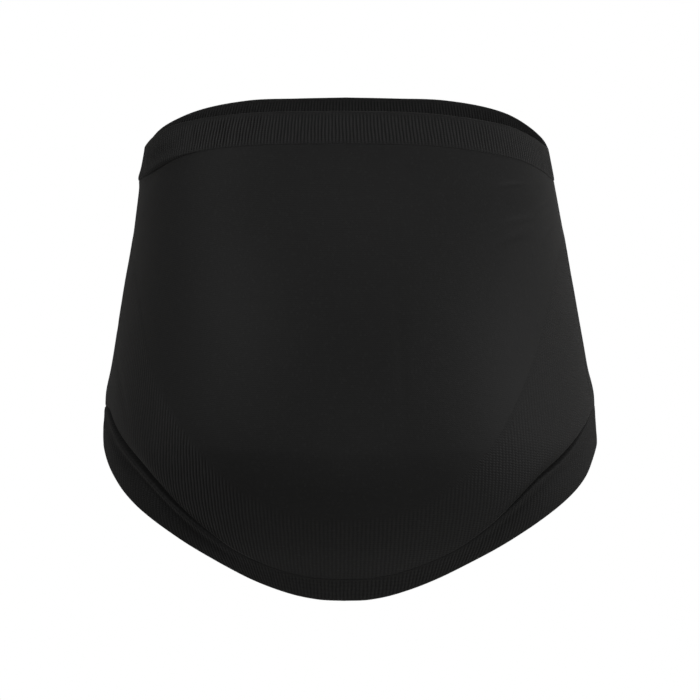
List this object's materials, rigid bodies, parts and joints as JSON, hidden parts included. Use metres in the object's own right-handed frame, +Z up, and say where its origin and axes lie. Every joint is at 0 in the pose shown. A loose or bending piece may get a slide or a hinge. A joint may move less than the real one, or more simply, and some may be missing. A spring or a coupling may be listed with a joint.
{
  "type": "maternity support belt",
  "caption": "Seamless knitted tube worn round a pregnant belly, with ribbed edges, a plain belly panel and a ribbed sling under it.",
  "frame": {"origin": "on the wearer's axis at the hip line, where the belt sits", "axes": "+Z up along the wearer's axis, -Y towards the wearer's front, +X towards the wearer's left"},
  "size_m": [0.3566, 0.2942, 0.3475],
  "materials": {
    "rib_knit": "matt one by one rib, black",
    "jersey_knit": "matt fine plain jersey, black",
    "support_knit": "matt firm mock rib, black"
  },
  "bodies": {
    "root": {"waistband": "rib_knit", "belly_panel": "jersey_knit", "support_sling": "support_knit", "hem_band": "rib_knit"}
  },
  "joints": []
}
